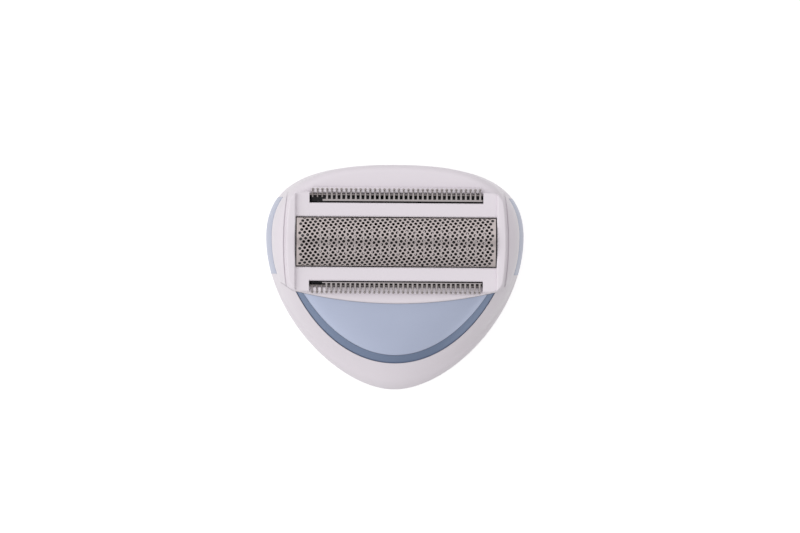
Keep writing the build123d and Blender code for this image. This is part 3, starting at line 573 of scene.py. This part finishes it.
blade = {
    "pitch": 0.93 * mm, "teeth": 33, "gauge": 0.3 * mm, "rearBack": 0.37 * mm, "frontBack": 0.11 * mm,
    "frontInner": 0.1 * mm,  # the front blade's back reaches further towards the foil
    "rootWidth": 0.42 * mm, "tipWidth": 0.28 * mm, "rootLap": 0.05 * mm,
    "tabWidth": 4.0 * mm, "tabLap": 0.1 * mm, "edge": 0.03 * mm,
    "toothShift": 0.195 * mm,  # brings its teeth in line with the comb's at rest
}
bladeLow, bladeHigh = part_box("trimmer_blade_rear")


def makeBlade(name, backWidth, inner):  # drawn as for the rear, outwards along +Y
    middleX = (bladeLow.x + bladeHigh.x) / 2
    backY = bladeLow.y + backWidth
    baseZ = bladeHigh.z - blade["gauge"]
    half = blade["rootWidth"] / 2
    tooth = addBlock("blade_tooth", (-half, backY - blade["rootLap"], baseZ),
                     (half, bladeHigh.y, bladeHigh.z), blade["edge"])
    tapered(tooth, lambda co: co.y > (backY + bladeHigh.y) / 2, blade["tipWidth"] / blade["rootWidth"])
    arrayTeeth(tooth, blade["teeth"], blade["pitch"], middleX + blade["toothShift"])
    startY = bladeLow.y - inner
    back = addBlock("blade_back", (bladeLow.x, startY, baseZ), (bladeHigh.x, backY, bladeHigh.z),
                    blade["edge"])
    tabHalf = blade["tabWidth"] / 2
    tabEnd = min(startY + blade["gauge"], backY)  # hidden below the back
    tab = addBlock("blade_tab", (middleX - tabHalf, startY, bladeLow.z),
                   (middleX + tabHalf, tabEnd, baseZ + blade["tabLap"]), blade["edge"])
    whole = joinPieces([tooth, back, tab], name)
    smooth(whole, "trimmer")
    return whole


rearBlade = makeBlade("trimmer_blade_rear_mesh", blade["rearBack"], 0)
frontBlade = makeBlade("trimmer_blade_front_mesh", blade["frontBack"], blade["frontInner"])
turnToFront(frontBlade)
for piece, node in ((rearBlade, "trimmer_blade_rear"), (frontBlade, "trimmer_blade_front")):
    paint(piece, bladeSteel)
    dress(piece, node)
print("trimmer blades made")


# dark strips that close each trimmer's slot from below, either side of the blade's tab: a dark sheet put in
# as painted shade that darkens the slots
shadeStrip = {
    "inner": 4.6 * mm, "outer": 16.6 * mm, "start": 7.66 * mm, "baseZ": 20.11 * mm, "thickness": 0.5 * mm,
    "edge": 0.06 * mm, "lip": 0.12 * mm, "dish": 0.15 * mm, "barGap": 0.05 * mm, "upward": 0.9,
}


def makeShadeStrip(name, side, barEdge):
    endV = barEdge - comb["barWidth"] - shadeStrip["barGap"]
    strips = []
    for half in (-1, 1):
        nearX, farX = sorted((half * shadeStrip["inner"], half * shadeStrip["outer"]))
        nearY, farY = sorted((rowY + side * shadeStrip["start"], rowY + side * endV))
        top = shadeStrip["baseZ"] + shadeStrip["thickness"]
        strip = addBlock("shade_strip_half", (nearX, nearY, shadeStrip["baseZ"]), (farX, farY, top), shadeStrip["edge"])
        selectFaces(strip, lambda normal: normal.z > shadeStrip["upward"])
        bpy.ops.mesh.inset(thickness=shadeStrip["lip"])
        bpy.ops.transform.translate(value=(0, 0, -shadeStrip["dish"]))  # a shallow dish in each dark strip of painted slot shade
        backToObject()
        strips.append(strip)
    return joinPieces(strips, name)


for name, side, barEdge in (("slot_guard_rear", 1, comb["rearBar"]),
                            ("slot_guard_front", -1, comb["frontBar"])):
    strip = makeShadeStrip(name, side, barEdge)
    # the dark moulding on these strips is painted shade down in the slots
    paint(strip, darkMoulding)
    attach(strip, "housing")
print("slot guards made")


# low white ledges of the cap below the combs' teeth
ledge = {
    "half": 16.6 * mm, "base": 21.9 * mm, "top": 22.76 * mm, "edge": 0.25 * mm,
    "rear": (9.52 * mm, 10.65 * mm), "front": (8.74 * mm, 10.05 * mm),  # from the row's middle
}


def makeLedge(name, side, span):
    nearY, farY = sorted(rowY + side * end for end in span)
    strip = addBlock(name, (-ledge["half"], nearY, ledge["base"]), (ledge["half"], farY, ledge["top"]),
                     ledge["edge"])
    smooth(strip, "ledge")
    return strip


for name, side, span in (("comb_ledge_rear", 1, ledge["rear"]), ("comb_ledge_front", -1, ledge["front"])):
    strip = makeLedge(name, side, span)
    paint(strip, whiteMoulding)
    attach(strip, "housing")
print("comb ledges made")


# floor, light and camera
studio = {
    "floorSize": 3.0, "floorTone": (0.5, 0.5, 0.5, 1), "floorRoughness": 0.9, "floorShine": 0.1,
    "floorLift": 0.7, "liftStart": 1.0, "liftEnd": 1.08,  # white floor, except below the foil
    "foilMiddle": (0, 6.9 * mm, 0), "foilHalf": (20.6 * mm, 9.6 * mm, 1),
    "skyTint": (1, 0.985, 1, 1), "skyLevel": 1.0, "skyLeft": 0.16, "skyFrontLeft": 0.95, "frontDim": 0.25,
    "horizon": 0.68, "horizonTop": 0.7, "zenithDip": 0.45, "dipStart": 0.975, "dipEnd": 0.998,
    "bandTop": 0.2, "bandBottom": 0.1,
    "lampPlace": (-0.5, 0.02, 0.42), "lampSize": 0.5, "lampPower": 0.5,
}


def cameraSees(tree):  # 1 for camera, mirror and glass rays
    path = addNode(tree, "ShaderNodeLightPath", (-800, -900))
    first = addMath(tree, "MAXIMUM", (-600, -900))
    second = addMath(tree, "MAXIMUM", (-400, -900))
    tree.links.new(path.outputs["Is Camera Ray"], first.inputs[0])
    tree.links.new(path.outputs["Is Glossy Ray"], first.inputs[1])
    tree.links.new(first.outputs[0], second.inputs[0])
    tree.links.new(path.outputs["Is Transmission Ray"], second.inputs[1])
    return second.outputs[0]


def makeFloor():
    deselectAll()
    bpy.ops.mesh.primitive_plane_add(size=studio["floorSize"], location=(0, 0, cadBox[0].z))
    floor = bpy.context.view_layer.objects.active
    floor.name = "studio_floor"
    finish = bpy.data.materials.new("pale floor")
    finish.use_nodes = True
    tree = finish.node_tree
    surface = tree.nodes["Principled BSDF"]
    surface.inputs["Base Color"].default_value = studio["floorTone"]
    surface.inputs["Roughness"].default_value = studio["floorRoughness"]
    surface.inputs["Specular IOR Level"].default_value = studio["floorShine"]
    surface.inputs["Emission Color"].default_value = (1, 1, 1, 1)
    place = addNode(tree, "ShaderNodeTexCoord", (-1500, -400))
    away = addMath(tree, "SUBTRACT", (-1200, -400), "ShaderNodeVectorMath")
    away.inputs[1].default_value = studio["foilMiddle"]
    share = addMath(tree, "DIVIDE", (-1000, -400), "ShaderNodeVectorMath")
    share.inputs[1].default_value = studio["foilHalf"]
    square = addMath(tree, "MULTIPLY", (-800, -400), "ShaderNodeVectorMath")
    reach = addMath(tree, "LENGTH", (-600, -400), "ShaderNodeVectorMath")
    clear = addRange(tree, (-400, -400), studio["liftStart"], studio["liftEnd"], 0.0,
                     studio["floorLift"])  # no lift in a rounded patch below the foil
    lift = addMath(tree, "MULTIPLY", (-200, -300))
    link = tree.links.new
    link(place.outputs["Object"], away.inputs[0])
    link(away.outputs[0], share.inputs[0])
    link(share.outputs[0], square.inputs[0])
    link(share.outputs[0], square.inputs[1])
    link(square.outputs[0], reach.inputs[0])
    link(reach.outputs["Value"], clear.inputs["Value"])
    link(cameraSees(tree), lift.inputs[0])
    link(clear.outputs["Result"], lift.inputs[1])
    link(lift.outputs[0], surface.inputs["Emission Strength"])
    paint(floor, finish)


def makeSky():  # even studio light, stronger from the left, weaker from the front
    world = bpy.data.worlds.new("studio light")
    bpy.context.scene.world = world
    world.use_nodes = True
    tree = world.node_tree
    back = tree.nodes["Background"]
    back.inputs["Color"].default_value = studio["skyTint"]
    place = addNode(tree, "ShaderNodeTexCoord", (-1200, 0))
    split = addNode(tree, "ShaderNodeSeparateXYZ", (-1000, 0))
    front = addRange(tree, (-800, 300), 0.0, -1.0, 0.0, 1.0)  # how far a direction looks to the front
    base = addMath(tree, "MULTIPLY_ADD", (-600, 400))
    base.inputs[1].default_value = -studio["frontDim"]
    base.inputs[2].default_value = studio["skyLevel"]
    lean = addMath(tree, "MULTIPLY_ADD", (-600, 200))
    lean.inputs[1].default_value = -studio["skyFrontLeft"]
    lean.inputs[2].default_value = -studio["skyLeft"]
    slope = addMath(tree, "MULTIPLY_ADD", (-400, 300))
    dip = addRange(tree, (-400, -100), studio["dipStart"], studio["dipEnd"], 1.0, 1.0 - studio["zenithDip"])
    dip.interpolation_type = "SMOOTHSTEP"
    low = addRange(tree, (-400, -350), 0.0, studio["horizonTop"], studio["horizon"], 1.0)  # weaker low down
    band = addRange(tree, (-400, -600), studio["bandTop"], studio["bandBottom"], 0.0, 1.0)  # background
    height = addMath(tree, "MULTIPLY", (-200, -200))
    level = addMath(tree, "MULTIPLY", (0, 100))
    veil = addMath(tree, "MULTIPLY", (0, -400))
    shown = addNode(tree, "ShaderNodeMix", (200, 100), B=1.0)  # white in the band
    link = tree.links.new
    link(place.outputs["Generated"], split.inputs[0])
    link(split.outputs["Y"], front.inputs["Value"])
    link(front.outputs["Result"], base.inputs[0])
    link(front.outputs["Result"], lean.inputs[0])
    link(split.outputs["X"], slope.inputs[0])
    link(lean.outputs[0], slope.inputs[1])
    link(base.outputs[0], slope.inputs[2])
    link(split.outputs["Z"], dip.inputs["Value"])
    link(split.outputs["Z"], low.inputs["Value"])
    link(dip.outputs["Result"], height.inputs[0])
    link(low.outputs["Result"], height.inputs[1])
    link(slope.outputs[0], level.inputs[0])
    link(height.outputs[0], level.inputs[1])
    link(split.outputs["Z"], band.inputs["Value"])
    link(band.outputs["Result"], veil.inputs[0])
    link(cameraSees(tree), veil.inputs[1])
    link(veil.outputs[0], shown.inputs["Factor"])
    link(level.outputs[0], shown.inputs["A"])
    link(shown.outputs["Result"], back.inputs["Strength"])


def makeLamp():
    deselectAll()
    bpy.ops.object.light_add(type="AREA", location=studio["lampPlace"])
    lamp = bpy.context.view_layer.objects.active
    lamp.name = "left_softbox"
    lamp.data.size = studio["lampSize"]
    lamp.data.energy = studio["lampPower"]
    lamp.rotation_euler = (-lamp.location).to_track_quat("-Z", "Y").to_euler()


view = {
    "imageWidth": 800, "focal": 350.0, "sensor": 36.0, "pixelsPerMm": 5.109,
    "target": (0.98, 1.99, 12.0), "tilt": 1.0, "roll": 0.4, "clipEnd": 20,
}


def makeCamera():
    deselectAll()
    bpy.ops.object.camera_add()
    camera = bpy.context.view_layer.objects.active
    camera.name = "photo_camera"
    camera.data.lens = view["focal"]
    camera.data.sensor_width = view["sensor"]
    camera.data.clip_end = view["clipEnd"]
    distance = view["imageWidth"] * view["focal"] / view["sensor"] / view["pixelsPerMm"]
    tilt = math.radians(view["tilt"])
    x, y, z = view["target"]
    camera.location = ((x - distance * math.sin(tilt)) * mm, y * mm, (z + distance * math.cos(tilt)) * mm)
    camera.rotation_euler = (0, -tilt, math.radians(view["roll"]))
    bpy.context.scene.camera = camera


makeFloor()
makeSky()
makeLamp()
makeCamera()
bpy.context.scene.view_settings.view_transform = "Standard"
print("studio set")
